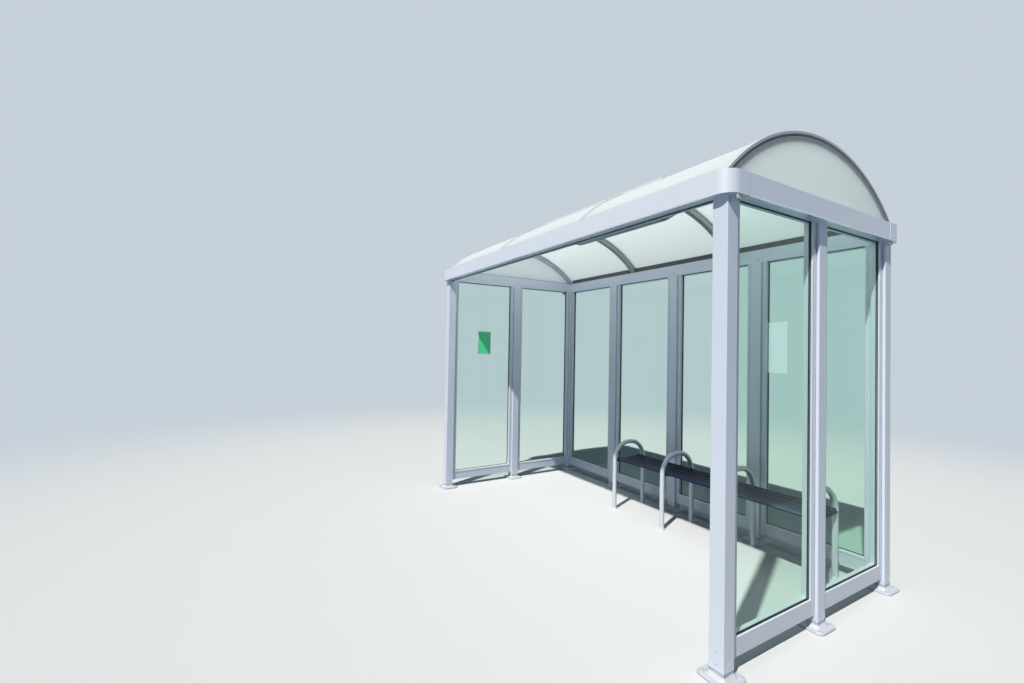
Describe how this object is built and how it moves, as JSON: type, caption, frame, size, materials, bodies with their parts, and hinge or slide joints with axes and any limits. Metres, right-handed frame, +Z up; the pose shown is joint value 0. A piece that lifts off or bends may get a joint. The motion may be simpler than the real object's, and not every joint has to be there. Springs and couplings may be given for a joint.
{
  "type": "bus shelter",
  "caption": "Open-fronted bus shelter with glazed rear and end walls, a white barrel-vaulted roof on square posts, and a slatted bench in tubular hoops.",
  "frame": {"origin": "on the ground, at the centre of the post grid and of the bounding box", "axes": "+Z up, +X along the length towards the end nearest the bench, -Y towards the open front"},
  "size_m": [3.3096, 1.7348, 2.646],
  "materials": {
    "post_aluminium": "clear anodised, satin",
    "header_aluminium": "clear anodised, satin",
    "fascia_aluminium": "clear anodised, satin",
    "frame_aluminium": "clear anodised, satin",
    "rib_aluminium": "clear anodised, satin",
    "cast_shoe": "cast, lightly blasted",
    "corner_casting": "cast, satin",
    "bracket": "mill finish",
    "hanger": "mill finish",
    "hoop_metal": "satin tube",
    "glass": "clear safety glass with a faint green edge",
    "gasket": "matt black rubber",
    "eave_dark": "dark bronze paint",
    "roof_sheet": "translucent white sheet",
    "infill_white": "white sheet",
    "panel_white": "white, satin",
    "light_body": "pale grey",
    "slat_dark": "dark navy, satin",
    "strap_dark": "black, satin",
    "board_pale": "pale, blank",
    "plate_green": "plain green, bare"
  },
  "bodies": {
    "root": {"base_shoes": "cast_shoe", "bench_hoop_1": "hoop_metal", "bench_hoop_2": "hoop_metal", "bench_hoop_3": "hoop_metal", "bench_hoop_4": "hoop_metal", "ceiling_light": "light_body", "crest_brackets": "bracket", "crest_panel": "panel_white", "eave_channels": "eave_dark", "end_infills": "infill_white", "fascia_corners": "corner_casting", "frames_left": "frame_aluminium", "frames_rear": "frame_aluminium", "frames_right": "frame_aluminium", "glass_left_1": "glass", "glass_left_2": "glass", "glass_rear_1": "glass", "glass_rear_2": "glass", "glass_rear_3": "glass", "glass_rear_4": "glass", "glass_right_1": "glass", "glass_right_2": "glass", "glazing_gaskets": "gasket", "gutter_front": "fascia_aluminium", "gutter_left": "fascia_aluminium", "gutter_rear": "fascia_aluminium", "gutter_right": "fascia_aluminium", "header_front": "header_aluminium", "header_left": "header_aluminium", "header_rear": "header_aluminium", "header_right": "header_aluminium", "light_hangers": "hanger", "notice_board": "board_pale", "notice_plate": "plate_green", "post_end_left": "post_aluminium", "post_end_right": "post_aluminium", "post_front_left": "post_aluminium", "post_front_right": "post_aluminium", "post_rear_1": "post_aluminium", "post_rear_2": "post_aluminium", "post_rear_3": "post_aluminium", "post_rear_4": "post_aluminium", "post_rear_5": "post_aluminium", "roof_rib_1": "rib_aluminium", "roof_rib_2": "rib_aluminium", "roof_rib_3": "rib_aluminium", "roof_rib_4": "rib_aluminium", "roof_sheet_1": "roof_sheet", "roof_sheet_2": "roof_sheet", "roof_sheet_3": "roof_sheet", "seat_slats": "slat_dark", "seat_straps": "strap_dark"}
  },
  "joints": []
}
